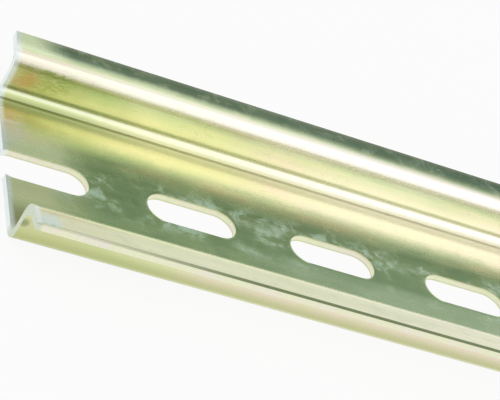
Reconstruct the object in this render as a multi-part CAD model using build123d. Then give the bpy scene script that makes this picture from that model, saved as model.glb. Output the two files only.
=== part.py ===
from build123d import *
import os
from math import ceil, cos, floor, radians, tan

# Slotted top-hat mounting rail, 35 x 7.5: one strip of steel sheet, punched and roll formed.
# The rail lies on the flat back of its web with its open side up. X runs along the rail, Y across it,
# and Z out of the open side. The origin is the middle of the back of the web.

# cut length of the rail
rail_length = 500.0

# hat section
rail_width = 35.0        # over the tips of the two flanges
rail_height = 7.5        # back of the web to the front edge of a flange tip
flange_reach = 4.0       # from the outside of a side wall to the tip of its flange
flange_rise = 8.0        # degrees that the flanges turn up towards their tips
sheet = 1.0              # thickness of the strip, the same all round
bend_inside = 1.3        # inside radius of the four bends

# row of punched slots, along the middle of the web
slot_length = 12.2       # over the round ends
slot_width = 5.0
slot_pitch = 20.0        # centre to centre
first_slot = 4.9         # cut end of the rail to the centre of the slot that it passes through

# how far a cutting body runs past the faces that it cuts
overrun = 1.0


def sheet_back():
    """The back face of the bent strip, seen along X, from one flange tip to the other."""
    tip = rail_width / 2
    wall = tip - flange_reach
    tip_back = rail_height - sheet * cos(radians(flange_rise))
    wall_top = tip_back - flange_reach * tan(radians(flange_rise))
    bend_outside = bend_inside + sheet
    return FilletPolyline(
        (-tip, tip_back),
        (-wall, wall_top),
        (-wall, 0),
        (wall, 0),
        (wall, wall_top),
        (tip, tip_back),
        radius=[bend_inside, bend_outside, bend_outside, bend_inside],
    )


def hat_section():
    """The section of the strip: its back face, thickened to the open side, so that each bend keeps the sheet."""
    with BuildSketch(Plane.YZ) as section:
        with BuildLine():
            sheet_back()
            offset(amount=sheet, side=Side.LEFT)
        make_face()
    return section.sketch


def slot_places():
    """Centres along X of every slot that the cut length holds or passes through."""
    reach = slot_length / 2
    first = ceil(-(first_slot + reach) / slot_pitch)
    last = floor((rail_length - first_slot + reach) / slot_pitch)
    return [first_slot + n * slot_pitch - rail_length / 2 for n in range(first, last + 1)]


def slot_cutters():
    """One through body for each slot. The row runs on past both ends, as the stock did before it was cut."""
    with BuildPart() as cutters:
        with BuildSketch(Plane.XY.offset(-overrun)):
            with Locations(*[(x, 0) for x in slot_places()]):
                SlotOverall(slot_length, slot_width)
        extrude(amount=sheet + overrun + overrun)
    return cutters.part


def din_rail():
    """The bent strip at its cut length, with the row of slots through the web."""
    bar = extrude(hat_section(), amount=rail_length / 2, both=True)
    return bar - slot_cutters()


os.makedirs("parts", exist_ok=True)
export_step(din_rail(), "parts/din_rail.step")
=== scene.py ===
from math import cos, pi, radians, sin, tan

import bmesh
import bpy
from mathutils import Matrix, Vector


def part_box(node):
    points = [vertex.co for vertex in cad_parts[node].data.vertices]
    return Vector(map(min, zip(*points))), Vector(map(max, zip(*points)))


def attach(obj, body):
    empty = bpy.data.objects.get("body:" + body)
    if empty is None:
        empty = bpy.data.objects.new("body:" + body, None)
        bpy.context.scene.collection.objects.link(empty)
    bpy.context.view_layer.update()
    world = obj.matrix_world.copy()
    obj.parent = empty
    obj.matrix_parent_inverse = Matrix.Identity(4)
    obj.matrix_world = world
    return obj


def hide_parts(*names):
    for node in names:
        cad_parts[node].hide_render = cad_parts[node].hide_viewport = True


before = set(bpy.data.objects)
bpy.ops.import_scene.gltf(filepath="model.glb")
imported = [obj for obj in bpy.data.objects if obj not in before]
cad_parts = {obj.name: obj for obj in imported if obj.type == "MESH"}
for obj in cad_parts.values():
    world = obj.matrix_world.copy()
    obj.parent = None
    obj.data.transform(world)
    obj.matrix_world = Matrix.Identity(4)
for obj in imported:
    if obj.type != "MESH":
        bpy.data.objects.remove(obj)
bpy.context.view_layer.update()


# The rail.
# One strip of 1 mm sheet steel. The row of slots is punched in the flat strip, rolls bend it to a hat
# section, the long bar is cut to length, and zinc with a yellow passivation covers all of it.
mm = 0.001
rail_low, rail_high = (Vector(corner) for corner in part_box("din_rail"))
near_end = rail_low.x
far_end = rail_high.x
tip = rail_high.y
sheet = 1.0 * mm
bend_inside = 1.3 * mm
bend_outside = bend_inside + sheet
flange_reach = 4.0 * mm
flange_rise = radians(8)
slot_length = 12.2 * mm
slot_width = 5.0 * mm
slot_pitch = 20.0 * mm
first_slot = near_end + 4.9 * mm
slot_points = 32
slot_rings = (0.25 * mm, 0.5 * mm)
bend_steps = 10
edge_round = 0.12 * mm
weld = 0.001 * mm
wall = tip - flange_reach
inner_wall = wall - sheet
web_edge = wall - bend_outside
tip_back = rail_high.z - sheet * cos(flange_rise)
flange_bend_y = wall + bend_inside
flange_bend_z = tip_back - (tip - flange_bend_y) * tan(flange_rise) - bend_inside / cos(flange_rise)


def punch_cell(strip, middle):
    """One pitch of the flat strip, as rings of faces between the slot's outline and the cell's border."""
    straight = slot_length - slot_width
    ring = bmesh.ops.create_circle(
        strip, segments=slot_points, radius=slot_width / 2,
        matrix=Matrix.Rotation(pi / slot_points, 4, "Z"))["verts"]
    outward = {}
    for vert in ring:
        outward[vert] = vert.co.normalized()
        vert.co.x += straight / 2 if vert.co.x > 0 else -straight / 2
    cell = list(ring)
    edges = list(dict.fromkeys(edge for vert in ring for edge in vert.link_edges))
    to_border = (None,)
    for margin in slot_rings + to_border:
        grown = bmesh.ops.extrude_edge_only(strip, edges=edges)["geom"]
        ring = [item for item in grown if isinstance(item, bmesh.types.BMVert)]
        edges = [item for item in grown if isinstance(item, bmesh.types.BMEdge)
                 and item.verts[0] in ring and item.verts[1] in ring]
        cell += ring
        turned = {}
        for vert in ring:
            neighbours = (edge.other_vert(vert) for edge in vert.link_edges)
            inner = next(other for other in neighbours if other in outward)
            turned[vert] = outward[inner]
            if margin:
                vert.co += outward[inner] * margin
            else:
                vert.co *= min(slot_pitch / 2 / abs(vert.co.x), web_edge / abs(vert.co.y))
        outward = turned
    for x in (-slot_pitch / 2, slot_pitch / 2):
        for y in (-web_edge, web_edge):
            corner = Vector((x, y, 0))
            min(ring, key=lambda vert: (vert.co - corner).length).co = corner
    bmesh.ops.translate(strip, verts=cell, vec=(middle, 0, 0))


def long_edges(strip, side):
    """The strip's outermost edges on one side, from end to end."""
    reach = max(vert.co.y * side for vert in strip.verts)
    return [edge for edge in strip.edges
            if edge.is_boundary and all(abs(vert.co.y * side - reach) < weld / 10 for vert in edge.verts)]


def roll(strip, edges, middle, axis, angle):
    """Adds a bend from the free edges, round a line along the rail, and returns its new free edges."""
    grown = bmesh.ops.spin(
        strip, geom=edges, cent=middle, axis=axis, dvec=(0, 0, 0), angle=angle, steps=bend_steps,
        use_merge=False, use_duplicate=False)["geom_last"]
    return [item for item in grown if isinstance(item, bmesh.types.BMEdge)]


def pull(strip, edges, way):
    """Adds flat sheet from the free edges, and returns its new free edges."""
    grown = bmesh.ops.extrude_edge_only(strip, edges=edges)["geom"]
    verts = [item for item in grown if isinstance(item, bmesh.types.BMVert)]
    bmesh.ops.translate(strip, verts=verts, vec=way)
    return [item for item in grown if isinstance(item, bmesh.types.BMEdge)
            and item.verts[0] in verts and item.verts[1] in verts]


def form_side(strip, side):
    """Rolls up one side wall and its flange from the edge of the web."""
    outwards = Vector((0, side, 0))
    upwards = Vector((0, 0, 1))
    axis = Vector((side, 0, 0))
    free = long_edges(strip, side)
    free = roll(strip, free, outwards * web_edge + upwards * bend_outside, axis, radians(90))
    free = pull(strip, free, upwards * (flange_bend_z - bend_outside))
    free = roll(
        strip, free, outwards * flange_bend_y + upwards * flange_bend_z, axis, flange_rise - radians(90))
    start = flange_bend_y - bend_inside * sin(flange_rise)
    pull(strip, free, outwards * (tip - start) + upwards * (tip - start) * tan(flange_rise))


strip = bmesh.new()
slots = round((far_end - near_end) / slot_pitch) + 1
for n in range(slots):
    punch_cell(strip, first_slot + n * slot_pitch)
bmesh.ops.remove_doubles(strip, verts=strip.verts, dist=weld)
for side in (-1, 1):
    form_side(strip, side)
for end, outward in ((near_end, -1), (far_end, 1)):
    bmesh.ops.bisect_plane(
        strip, geom=strip.verts[:] + strip.edges[:] + strip.faces[:],
        plane_co=(end, 0, 0), plane_no=(outward, 0, 0), clear_outer=True)
bmesh.ops.recalc_face_normals(strip, faces=strip.faces)
web_face = min(strip.faces, key=lambda face: face.calc_center_median().z)
if web_face.normal.z < 0:
    bmesh.ops.reverse_faces(strip, faces=strip.faces)
rail_mesh = bpy.data.meshes.new("rail")
strip.to_mesh(rail_mesh)
strip.free()
rail = bpy.data.objects.new("rail", rail_mesh)
bpy.context.scene.collection.objects.link(rail)
wall_maker = rail.modifiers.new("sheet thickness", "SOLIDIFY")
wall_maker.thickness = sheet
wall_maker.offset = 1
wall_maker.use_even_offset = True
wall_maker.material_offset_rim = 1
rounding = rail.modifiers.new("worn edges", "BEVEL")
rounding.width = edge_round
rounding.segments = 2
rounding.profile = 0.5
rounding.limit_method = "ANGLE"
rounding.angle_limit = radians(40)
rail_mesh.shade_smooth()
rail_mesh.set_sharp_from_angle(angle=radians(30))
weighing = rail.modifiers.new("flat faces stay flat", "WEIGHTED_NORMAL")
weighing.keep_sharp = True

# the coat: zinc with a yellow passivation, a thin coloured film over bright metal
zinc = bpy.data.materials.new("yellow passivated zinc")
zinc.use_nodes = True
tree = zinc.node_tree
metal = tree.nodes["Principled BSDF"]


def add(kind, **settings):
    """A new node in the tree that is being made, with its plain settings and its sockets' values."""
    node = tree.nodes.new(kind)
    for name, value in settings.items():
        if name == "sockets":
            for socket, content in value.items():
                if isinstance(content, bpy.types.NodeSocket):
                    tree.links.new(content, node.inputs[socket])
                else:
                    node.inputs[socket].default_value = content
        else:
            setattr(node, name, value)
    return node


place = add("ShaderNodeTexCoord").outputs["Object"]


def noise(scale, detail, roughness=0.6, distortion=0.0):
    """Noise whose size along and across the rail is set by the scale, in waves per metre."""
    stretched = add("ShaderNodeMapping", sockets={"Vector": place, "Scale": scale})
    return add("ShaderNodeTexNoise", sockets={
        "Vector": stretched.outputs["Vector"], "Scale": 1.0, "Detail": detail,
        "Roughness": roughness, "Distortion": distortion}).outputs["Fac"]


def between(value, low, high, to_low=0.0, to_high=1.0):
    """Maps a value smoothly from one range to another. By itself it is a mask, 0 at low and 1 at high."""
    return add("ShaderNodeMapRange", interpolation_type="SMOOTHSTEP", sockets={
        "Value": value, "From Min": low, "From Max": high,
        "To Min": to_low, "To Max": to_high}).outputs["Result"]


def calculate(operation, *values):
    """One step of arithmetic on values or sockets."""
    return add("ShaderNodeMath", operation=operation, sockets=dict(enumerate(values))).outputs["Value"]


def plus(first, second):
    """The sum."""
    return calculate("ADD", first, second)


def minus(first, second):
    """The difference."""
    return calculate("SUBTRACT", first, second)


def times(first, *others):
    """The product. Of masks, it is what they all cover."""
    for other in others:
        first = calculate("MULTIPLY", first, other)
    return first


def larger(first, *others):
    """The largest. Of masks, it is what any of them covers."""
    for other in others:
        first = calculate("MAXIMUM", first, other)
    return first


def smaller(first, second):
    """The smaller of two."""
    return calculate("MINIMUM", first, second)


def length(sideways, upwards):
    """How far away something is that lies so far sideways and so far up."""
    return calculate("SQRT", plus(times(sideways, sideways), times(upwards, upwards)))


def distance(start, point):
    """How far one place is from a point on the rail."""
    return add("ShaderNodeVectorMath", operation="DISTANCE", sockets={0: start, 1: point}).outputs["Value"]


def blend(amount, first, second):
    """A mix of two colours."""
    return add("ShaderNodeMix", data_type="RGBA", sockets={0: amount, 6: first, 7: second}).outputs[2]


yellow = (0.93, 0.89, 0.61, 1)
green = (0.83, 0.87, 0.54, 1)
pink = (0.93, 0.79, 0.66, 1)
cream = (0.98, 0.93, 0.82, 1)
deep_green = (0.58, 0.64, 0.28, 1)
earth = (0.62, 0.54, 0.30, 1)
web_green = (0.54, 0.70, 0.38, 1)
web_shade = (0.42, 0.58, 0.37, 1)
web_haze = (0.84, 0.92, 0.56, 1)
web_olive = (0.84, 0.82, 0.48, 1)
low_web_green = (0.80, 0.93, 0.68, 1)
peach = (0.92, 0.78, 0.48, 1)
# the two flange tones: the green partly painted shade, the cream partly painted light
flange_green_shaded = (0.64, 0.79, 0.62, 1)
flange_shade = (0.40, 0.54, 0.40, 1)
flange_cream_lit = (0.86, 0.87, 0.64, 1)
# a pale lilac white for the painted highlight on the upper convex bend
painted_highlight_white = (0.96, 0.91, 0.86, 1)
lip_green = (0.58, 0.66, 0.50, 1)
yellow_green = (0.80, 0.85, 0.50, 1)
olive = (0.50, 0.54, 0.24, 1)
fillet_end = (0.60, 0.68, 0.34, 1)
fillet_yellow = (0.90, 0.90, 0.58, 1)
fillet_cream = (0.97, 0.94, 0.74, 1)
lit_cream = (0.98, 0.97, 0.88, 1)
# a dark olive for painted shade: in the crease, along the lower flange's tip and in the corner under it
painted_shade_dark = (0.15, 0.20, 0.08, 1)
water = (0.62, 0.84, 0.78, 1)
speck = (0.86, 0.95, 0.70, 1)
scuff_green = (0.42, 0.50, 0.18, 1)
rust = (0.66, 0.42, 0.20, 1)
lilac = (0.84, 0.80, 0.82, 1)
spring_green = (0.84, 0.95, 0.62, 1)
pale = (0.86, 0.94, 0.95, 1)
sky_blue = (0.70, 0.83, 0.88, 1)

# the patterns, from long bands to fine dots
bands = noise((20, 230, 230), 3)
streaks = noise((16, 800, 800), 4)
clouds = noise((70, 150, 150), 3)
blotches = noise((420, 520, 520), 7, 0.66, 0.5)
patches = noise((170, 190, 190), 4, 0.55, 0.4)
dots = noise((1500, 1700, 1700), 3, 0.6)
scuffs = noise((900, 2400, 2400), 2, 0.5, 0.9)

# the places on the rail that the masks are made of: crosswise is positive on the upper flange's side,
# across is how far out from the middle line, along is how far from the near cut end
spot = add("ShaderNodeSeparateXYZ", sockets={0: place}).outputs
crosswise = spot["Y"]
up = spot["Z"]
across = calculate("ABSOLUTE", crosswise)
along = minus(spot["X"], near_end)
from_end = smaller(along, minus(far_end, spot["X"]))
upper_side = between(crosswise, -1 * mm, 1 * mm)
lower_side = between(crosswise, 1 * mm, -1 * mm)
from_low_bend = length(larger(minus(across, web_edge), 0.0), smaller(minus(up, bend_outside), 0.0))
from_top_bend = length(
    larger(minus(flange_bend_y, crosswise), 0.0), larger(minus(up, flange_bend_z), 0.0))

# the film: yellow and green in long streaks, with pink clouds, creamier further along, and deep green
# and earthy where it is thicker, near the cut end
colour = blend(between(bands, 0.40, 0.62), yellow, green)
colour = blend(between(clouds, 0.50, 0.70, 0, 0.7), colour, pink)
colour = blend(between(along, 22 * mm, 52 * mm, 0, 0.7), colour, cream)
thick_film = plus(along, times(patches, 20 * mm))
colour = blend(between(thick_film, 34 * mm, 12 * mm, 0, 0.7), colour, deep_green)
earthy_film = plus(along, times(clouds, 24 * mm))
colour = blend(between(earthy_film, 21 * mm, 14 * mm, 0, 0.6), colour, earth)

# the web, darker and greener, with haze and olive beside the open slot, and a clearer green on its lower
# side further along
on_web = between(across, 9.5 * mm, 5.5 * mm)
colour = blend(times(on_web, 0.8), colour, web_green)
colour = blend(times(on_web, between(patches, 0.60, 0.38, 0, 0.5)), colour, web_shade)
by_end = plus(along, times(patches, 8 * mm))
haze = times(on_web, between(by_end, 17 * mm, 9 * mm), between(crosswise, 0, 2 * mm))
colour = blend(times(haze, 0.8), colour, web_haze)
worn_olive = times(on_web, between(by_end, 18 * mm, 8 * mm), between(crosswise, 0, -2 * mm))
colour = blend(times(worn_olive, 0.6), colour, web_olive)
low_web = times(
    between(crosswise, -2.0 * mm, -3.4 * mm), between(along, 28 * mm, 42 * mm),
    between(across, 11.0 * mm, 10.0 * mm))
colour = blend(times(low_web, between(clouds, 0.35, 0.6, 0.45, 0.8)), colour, low_web_green)

# earthy clouds above mid height by the cut end, and a broken peach fringe along the web's upper side
earthy = times(between(along, 13 * mm, 4 * mm), between(up, 3.4 * mm, 4.4 * mm))
colour = blend(times(earthy, between(clouds, 0.35, 0.6, 0.25, 0.7)), colour, earth)
fringe = times(
    between(crosswise, 7.8 * mm, 6.2 * mm), between(crosswise, 4.4 * mm, 5.8 * mm),
    between(clouds, 0.42, 0.6))
colour = blend(times(fringe, 0.5), colour, peach)

# the flanges: the upper one mottled green, partly the film's colour and partly painted shade, with more
# painted shade by its bend and a painted highlight along its tip, the lower one cream, partly painted
# light
on_flange = times(between(across, 14.2 * mm, 15.2 * mm), between(up, 6.2 * mm, 6.8 * mm))
flange_light_and_shade_tone = blend(lower_side, flange_green_shaded, flange_cream_lit)
colour = blend(times(on_flange, between(streaks, 0.35, 0.65, 0.55, 0.9)), colour, flange_light_and_shade_tone)
upper = times(on_flange, upper_side)
mottled = times(between(blotches, 0.60, 0.45), between(clouds, 0.35, 0.60, 0.2, 0.8))
colour = blend(times(upper, mottled), colour, flange_shade)
colour = blend(times(upper, between(across, 16.2 * mm, 14.8 * mm, 0, 0.45)), colour, deep_green)
colour = blend(times(upper, between(across, 16.6 * mm, 17.3 * mm, 0, 0.6)), colour, cream)

# the convex bends painted pale as a painted highlight, and the greener inner half of the lower one
on_bend = times(between(up, 5.6 * mm, 6.3 * mm), between(across, 14.9 * mm, 14.0 * mm))
painted_highlight_tone = blend(upper_side, flange_cream_lit, painted_highlight_white)
colour = blend(times(on_bend, 0.6), colour, painted_highlight_tone)
low_lip = times(between(crosswise, -12.5 * mm, -12.7 * mm), between(up, 4.6 * mm, 5.2 * mm))
colour = blend(times(low_lip, between(across, 14.3 * mm, 13.7 * mm)), colour, lip_green)

# the outsides of the walls, yellow green and pink, and painted shade in olive round the bends below
outside = times(between(across, 12.9 * mm, 13.3 * mm), between(up, 5.5 * mm, 4.5 * mm))
outside_tone = blend(between(clouds, 0.33, 0.48), yellow_green, pink)
colour = blend(times(outside, 0.9), colour, outside_tone)
low_wall = times(outside, between(up, 4.2 * mm, 1.2 * mm))
under_bend = times(between(across, 11.2 * mm, 12.0 * mm), between(up, 0.9 * mm, 0.5 * mm))
colour = blend(times(larger(low_wall, under_bend), 0.8), colour, olive)

# the bends between web and walls, painted pale up to a painted highlight along a bright line, and painted
# shade in the dark crease above it, which fades further along
near_inner_wall = between(calculate("ABSOLUTE", minus(across, inner_wall)), 0.10 * mm, 0.04 * mm)
in_fillet = times(
    between(across, 10.6 * mm, 11.1 * mm), between(across, 12.7 * mm, 12.6 * mm),
    between(up, 3.4 * mm, 3.2 * mm))
fillet_tone = blend(between(along, 6 * mm, 24 * mm), fillet_end, fillet_yellow)
fillet_tone = blend(between(along, 22 * mm, 52 * mm), fillet_tone, fillet_cream)
# painted light: the fillet pale, with a painted highlight along its bright line
lit_fillet = times(in_fillet, between(up, 2.35 * mm, 2.2 * mm))
colour = blend(times(lit_fillet, 0.85), colour, fillet_tone)
lit_line = times(lit_fillet, between(up, 1.8 * mm, 2.0 * mm))
colour = blend(times(lit_line, 0.6), colour, lit_cream)
# painted shade: olive on the inner wall above the fillet and in the crease, darker by the cut end
soft_crease = times(near_inner_wall, between(up, 4.0 * mm, 3.0 * mm))
crease_shade_left = between(along, 60 * mm, 20 * mm, 0.15, 1)
colour = blend(times(soft_crease, times(crease_shade_left, 0.3)), colour, olive)
dark_crease = times(between(up, 2.25 * mm, 2.40 * mm), between(up, 3.1 * mm, 2.7 * mm))
dark_crease = times(in_fillet, dark_crease)
colour = blend(times(dark_crease, times(crease_shade_left, 0.25)), colour, olive)
colour = blend(times(dark_crease, between(along, 22 * mm, 5 * mm, 0.0, 0.35)), colour, painted_shade_dark)

# a painted shadow line along the lower flange's tip
tip_shadow_line = times(
    between(crosswise, 0.5 * mm - tip, 0.32 * mm - tip), between(up, 7.1 * mm, 7.25 * mm),
    between(along, 3 * mm, 30 * mm, 0.25, 0.95))
colour = blend(tip_shadow_line, colour, painted_shade_dark)

# worn and weathered places between the slots
middle = between(across, 5.0 * mm, 2.8 * mm)
worn = times(middle, times(between(patches, 0.46, 0.60), between(blotches, 0.42, 0.58)))
colour = blend(times(worn, 0.5), colour, water)
dotted = times(middle, times(between(patches, 0.45, 0.6), between(dots, 0.63, 0.69)))
colour = blend(times(dotted, 0.9), colour, speck)

# the cut end: scuffs below the upper bend, in an area twice as long as wide, and a rust stain on the wall
scuff_squeeze = 0.5
squeezed = add("ShaderNodeMapping", sockets={
    "Vector": place, "Scale": (scuff_squeeze, 1, 1)}).outputs["Vector"]
scuffed = distance(squeezed, ((near_end + 4.5 * mm) * scuff_squeeze, 12.7 * mm, 5.0 * mm))
scuffed = times(
    between(scuffed, 2.4 * mm, 1.2 * mm), between(scuffs, 0.43, 0.55),
    between(across, 13.3 * mm, 12.9 * mm))
colour = blend(times(scuffed, 0.8), colour, scuff_green)
not_outside = minus(1.0, outside)
stain = distance(place, (near_end + 2.6 * mm, inner_wall, 4.5 * mm))
stain = plus(stain, between(blotches, 0.3, 0.7, 0.5 * mm, -0.5 * mm))
colour = blend(times(between(stain, 1.8 * mm, 0.4 * mm, 0, 0.75), not_outside), colour, rust)

# lilac film on the web's upper half, fresh green on the upper flange, and a pale edge along the cut
ragged = plus(from_end, between(patches, 0.3, 0.7, 1.2 * mm, -1.2 * mm))
lilac_patch = times(
    between(ragged, 3.5 * mm, 1.0 * mm), between(crosswise, 2 * mm, 4 * mm),
    between(crosswise, 10.5 * mm, 9.5 * mm), between(bands, 0.42, 0.58, 0.25, 1))
colour = blend(times(lilac_patch, 0.8), colour, lilac)
colour = blend(times(between(ragged, 8 * mm, 2 * mm), upper), colour, spring_green)
colour = blend(times(between(from_end, 0.9 * mm, 0.3 * mm, 0, 0.8), not_outside), colour, pale)

# the lower wall's outside, greener by the cut end, and painted shade in olive along its foot
low_outside = times(outside, lower_side)
colour = blend(times(low_outside, between(along, 24 * mm, 3 * mm, 0, 0.75)), colour, deep_green)
foot = times(
    between(from_low_bend, 1.9 * mm, 2.2 * mm), between(crosswise, -11.5 * mm, -12.3 * mm),
    between(up, 3.2 * mm, 1.3 * mm))
colour = blend(times(foot, between(along, 34 * mm, 6 * mm, 0.4, 1)), colour, olive)

# a blue patch on the lower flange, a painted shadow at its tip, and a painted shadow on its wall in the
# corner under the flange, each with the place of its middle from the cut end, the radii where it is full
# and where it ends, and its strength
for spot_middle, full, ended, strength, tint in (
        ((1.8 * mm, -16.4 * mm, 7.2 * mm), 0.6 * mm, 1.9 * mm, 0.6, sky_blue),
        ((1.9 * mm, -17.3 * mm, 7.3 * mm), 0.1 * mm, 0.5 * mm, 0.7, web_shade),
        ((0.3 * mm, -13.5 * mm, 3.8 * mm), 0.2 * mm, 0.9 * mm, 0.6, painted_shade_dark)):
    away = distance(place, Vector((near_end, 0, 0)) + Vector(spot_middle))
    colour = blend(between(away, ended, full, 0, strength), colour, tint)
tree.links.new(colour, metal.inputs["Base Color"])

# the gloss: rougher in streaks and blotches and low in the bends, less metallic where the film is thick
rough = plus(between(streaks, 0.3, 0.7, 0.21, 0.28), between(blotches, 0.5, 0.7, 0.0, 0.06))
low_fillet = times(lit_fillet, between(up, 1.7 * mm, 1.4 * mm))
rough = plus(rough, times(low_fillet, 0.2))
tree.links.new(rough, metal.inputs["Roughness"])
hazy = larger(larger(worn, haze), larger(worn_olive, lilac_patch))
end_film = times(between(from_end, 0.9 * mm, 0.2 * mm, 0, 0.55), not_outside)
flange_film = times(upper, between(ragged, 8 * mm, 0.5 * mm, 0, 0.75))
dull = larger(times(hazy, 0.55), end_film, flange_film)
tree.links.new(minus(1.0, dull), metal.inputs["Metallic"])

# the relief, in metres of height: fine drawing lines, slow waves and the web's slight dish. On the open
# side the upper flange also rolls over towards its bend, and the bends beside the web sag a little, so
# that they mirror like rounder ones.
streak_depth = 0.0025 * mm
blotch_depth = 0.0004 * mm
wave_depth = 0.12 * mm
dish_curve = 2.2
roll_start = 15.9 * mm
roll_width = 3.4 * mm
roll_curve = 100.0
sag_start = 3.2 * mm
sag_width = 0.9 * mm
sag_curve = 250.0
sag_slope = 0.45
lines = plus(times(streaks, streak_depth), times(blotches, blotch_depth))
waves = times(noise((30, 60, 60), 2), wave_depth)
dish = times(crosswise, crosswise, dish_curve)
rolled = smaller(larger(minus(roll_start, crosswise), 0.0), roll_width)
rolled = times(minus(roll_width ** 2, times(rolled, rolled)), roll_curve)
open_side = times(between(from_top_bend, 1.85 * mm, 2.15 * mm), between(up, 2.4 * mm, 3.4 * mm))
lines = plus(lines, times(rolled, open_side))
sag = smaller(larger(minus(sag_start, up), 0.0), sag_width)
sagged = plus(times(sag, sag, sag_curve), times(larger(minus(bend_outside, up), 0.0), sag_slope))
lines = plus(lines, times(sagged, between(from_low_bend, 2.0 * mm, 1.6 * mm)))
height = plus(plus(lines, waves), times(dish, between(up, 1.3 * mm, 1.1 * mm)))
relief = add("ShaderNodeBump", sockets={"Strength": 1.0, "Distance": 1.0, "Height": height})
tree.links.new(relief.outputs["Normal"], metal.inputs["Normal"])
rail_mesh.materials.append(zinc)

# the punched and sheared edges, where the tool left a paler, duller face
cut_zinc = bpy.data.materials.new("sheared edge zinc")
cut_zinc.use_nodes = True
tree = cut_zinc.node_tree
metal = tree.nodes["Principled BSDF"]
edge_yellow = (0.86, 0.88, 0.62, 1)
edge_pink = (0.88, 0.84, 0.70, 1)
grey_green = (0.62, 0.70, 0.56, 1)
place = add("ShaderNodeTexCoord").outputs["Object"]
spot = add("ShaderNodeSeparateXYZ", sockets={0: place}).outputs
crosswise = spot["Y"]
up = spot["Z"]
tone = noise((300, 300, 300), 4)
shear = noise((1800, 1800, 250), 3)
from_end = minus((far_end - near_end) / 2, calculate("ABSOLUTE", spot["X"]))
colour = blend(between(tone, 0.4, 0.65), edge_yellow, edge_pink)

# in the slots, an olive line where the punch went in and another where the metal broke through
in_slot = between(calculate("ABSOLUTE", crosswise), 3.0 * mm, 2.8 * mm)
burnished = times(in_slot, between(up, 0.72 * mm, 0.92 * mm))
colour = blend(times(burnished, 0.75), colour, olive)
broken = times(in_slot, between(up, 0.28 * mm, 0.10 * mm))
colour = blend(times(broken, 0.5), colour, olive)

# the cut ends, pale, and greyer on the lower wall and flange, and the painted shadow line along the tip
end_tone = blend(between(crosswise, -10.5 * mm, -12 * mm), pale, grey_green)
colour = blend(between(from_end, 1 * mm, 0.3 * mm, 0, 0.85), colour, end_tone)
tip_shadow = times(
    between(crosswise, 0.3 * mm - tip, 0.2 * mm - tip), between(up, 7.22 * mm, 7.30 * mm))
colour = blend(times(tip_shadow, between(from_end, 3 * mm, 30 * mm, 0.25, 0.95)), colour, painted_shade_dark)
tree.links.new(colour, metal.inputs["Base Color"])
tree.links.new(between(shear, 0.3, 0.7, 0.26, 0.42), metal.inputs["Roughness"])
metal.inputs["Metallic"].default_value = 0.85
shear_bump = add("ShaderNodeBump", sockets={"Strength": 1.0, "Distance": 0.01 * mm, "Height": shear})
tree.links.new(shear_bump.outputs["Normal"], metal.inputs["Normal"])
rail_mesh.materials.append(cut_zinc)
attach(rail, "root")
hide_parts("din_rail")


# The floor of the picture.
# A white table top that the rail lies on, a hair below it so that no two faces share a plane. It shows as
# plain white, with enough of its real shading left for the rail's soft shadow.
table_size = 6
table_gap = 0.05 * mm
glow_share = 0.9
bpy.ops.mesh.primitive_plane_add(size=table_size, location=(0, 0, -table_gap))
floor = bpy.context.object
floor.name = "white_table"
white = bpy.data.materials.new("white table")
white.use_nodes = True
tree = white.node_tree
tree.nodes.remove(tree.nodes["Principled BSDF"])
ray = add("ShaderNodeLightPath").outputs
seen = larger(ray["Is Camera Ray"], ray["Is Glossy Ray"], ray["Is Transmission Ray"])
matt = add("ShaderNodeBsdfDiffuse", sockets={"Color": (0.9, 0.9, 0.9, 1)})
glow = add("ShaderNodeEmission", sockets={"Color": (1, 1, 1, 1), "Strength": 1.0})
share = add("ShaderNodeMixShader", sockets={
    0: times(seen, glow_share), 1: matt.outputs[0], 2: glow.outputs[0]})
tree.links.new(share.outputs[0], tree.nodes["Material Output"].inputs["Surface"])
floor.data.materials.append(white)


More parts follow.
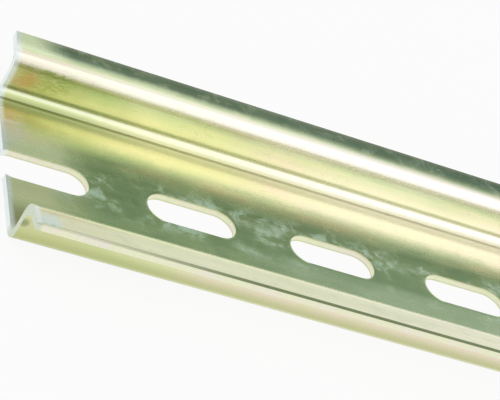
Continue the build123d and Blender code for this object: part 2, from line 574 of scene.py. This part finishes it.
# The studio light.
# A white horizon, a dark green strip above it that the web mirrors, pale grey overhead, and two soft
# boxes: a wide one overhead, and a brighter one on the camera's side, which the walls and bends mirror.
world = bpy.data.worlds.new("studio")
world.use_nodes = True
bpy.context.scene.world = world
tree = world.node_tree
near_grey = (0.75, 0.75, 0.75, 1)
way = add("ShaderNodeSeparateXYZ", sockets={0: add("ShaderNodeTexCoord").outputs["Generated"]}).outputs
ceiling = add("ShaderNodeValToRGB", sockets={0: way["Z"]})
ramp = ceiling.color_ramp
for height_up, shade in (
        (0.0, (1, 1, 1, 1)),
        (0.36, (1, 1, 1, 1)),
        (0.50, (0.30, 0.38, 0.28, 1)),
        (0.565, (0.14, 0.19, 0.14, 1)),
        (0.79, (0.12, 0.16, 0.12, 1)),
        (0.86, (0.72, 0.72, 0.72, 1)),
        (1.0, (0.70, 0.70, 0.70, 1))):
    ramp.elements.new(height_up).color = shade
ramp.elements.remove(ramp.elements[0])
ramp.elements.remove(ramp.elements[len(ramp.elements) - 1])
around = blend(between(way["Y"], -0.3, 0.2), near_grey, ceiling.outputs["Color"])
tree.links.new(around, tree.nodes["Background"].inputs["Color"])


def aimed(place, aim):
    """The transform of a lamp or a camera that stands at a place and looks at a point."""
    turn = (aim - place).to_track_quat("-Z", "Y").to_matrix().to_4x4()
    return Matrix.Translation(place) @ turn


def soft_box(name, place, size, radiance):
    """A square soft box that looks at the rail's cut end, as bright to look at as its radiance says."""
    light = bpy.data.lights.new(name, "AREA")
    light.shape = "SQUARE"
    light.size = size
    light.energy = radiance * pi * size * size
    box = bpy.data.objects.new(name, light)
    bpy.context.scene.collection.objects.link(box)
    box.matrix_world = aimed(Vector(place), Vector((near_end, 0, 0)))


soft_box("overhead box", (near_end + 0.15, -0.1, 1.3), size=1.8, radiance=0.24)
soft_box("box beside the camera", (near_end + 0.95, -1.06, 0.80), size=1.5, radiance=0.55)


# The camera.
# It stands at the photo's place, low on the near side, turned about its own axis, and looks at the rail
# a little behind the cut end.
camera_place = Vector((near_end - 79.2 * mm, -196.8 * mm, 151.2 * mm))
camera_aim = Vector((near_end + 34.82 * mm, 7.89 * mm, 0))
camera_roll = radians(33.37)
lens = bpy.data.cameras.new("camera")
lens.sensor_width = 36
lens.lens = 158.4
lens.clip_start = 0.01
camera = bpy.data.objects.new("camera", lens)
bpy.context.scene.collection.objects.link(camera)
camera.matrix_world = aimed(camera_place, camera_aim) @ Matrix.Rotation(camera_roll, 4, "Z")
bpy.context.scene.camera = camera
bpy.context.scene.view_settings.view_transform = "Standard"
